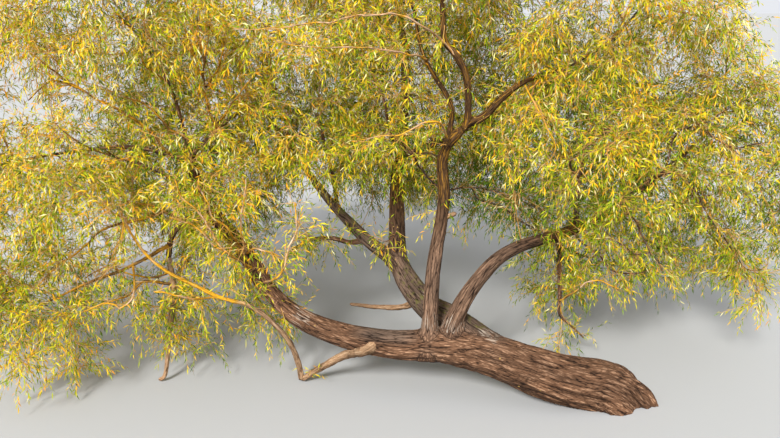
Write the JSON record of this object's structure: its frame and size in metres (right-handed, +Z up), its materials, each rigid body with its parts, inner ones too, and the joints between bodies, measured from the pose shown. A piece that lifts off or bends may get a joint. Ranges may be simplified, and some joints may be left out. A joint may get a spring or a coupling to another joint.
{
  "type": "weeping willow tree",
  "caption": "Willow that leans out low from the ground, with rising boughs, a broken branch that dips and climbs again, and a wide drooping crown of narrow yellow-green leaves.",
  "frame": {"origin": "middle of the flat cut under the trunk, at ground level", "axes": "+Z up; the trunk leans out towards -X; the crown hangs over the +Y side"},
  "size_m": [10.6698, 5.8522, 6.3039],
  "materials": {
    "bark": "rough furrowed bark",
    "pale_wood": "weathered bare wood",
    "leaves": "satin leaves"
  },
  "bodies": {
    "root": {"back_bough": "bark", "back_left_bough": "bark", "back_left_side_branch": "bark", "back_upright_bough": "bark", "broken_branch_arching": "pale_wood", "broken_branch_falling": "pale_wood", "broken_branch_rising": "pale_wood", "crown_back_left": "leaves", "crown_back_middle": "leaves", "crown_back_right": "leaves", "crown_back_top": "leaves", "crown_inner_left": "leaves", "crown_inner_middle": "leaves", "crown_inner_right": "leaves", "crown_left_end": "leaves", "crown_left_front_low": "leaves", "crown_left_inner_low": "leaves", "crown_left_middle": "leaves", "crown_left_top": "leaves", "crown_middle_back": "leaves", "crown_middle_top": "leaves", "crown_right_end": "leaves", "crown_right_inner": "leaves", "crown_right_low": "leaves", "crown_right_top": "leaves", "dead_side_branch": "pale_wood", "hanging_limb_lower": "bark", "hanging_limb_upper": "bark", "left_bough_lower": "bark", "left_bough_upper": "bark", "left_dipping_stem": "pale_wood", "middle_back_limb": "bark", "middle_bough": "bark", "middle_left_limb": "bark", "middle_right_limb": "bark", "right_bough": "bark", "trunk": "bark"}
  },
  "joints": []
}
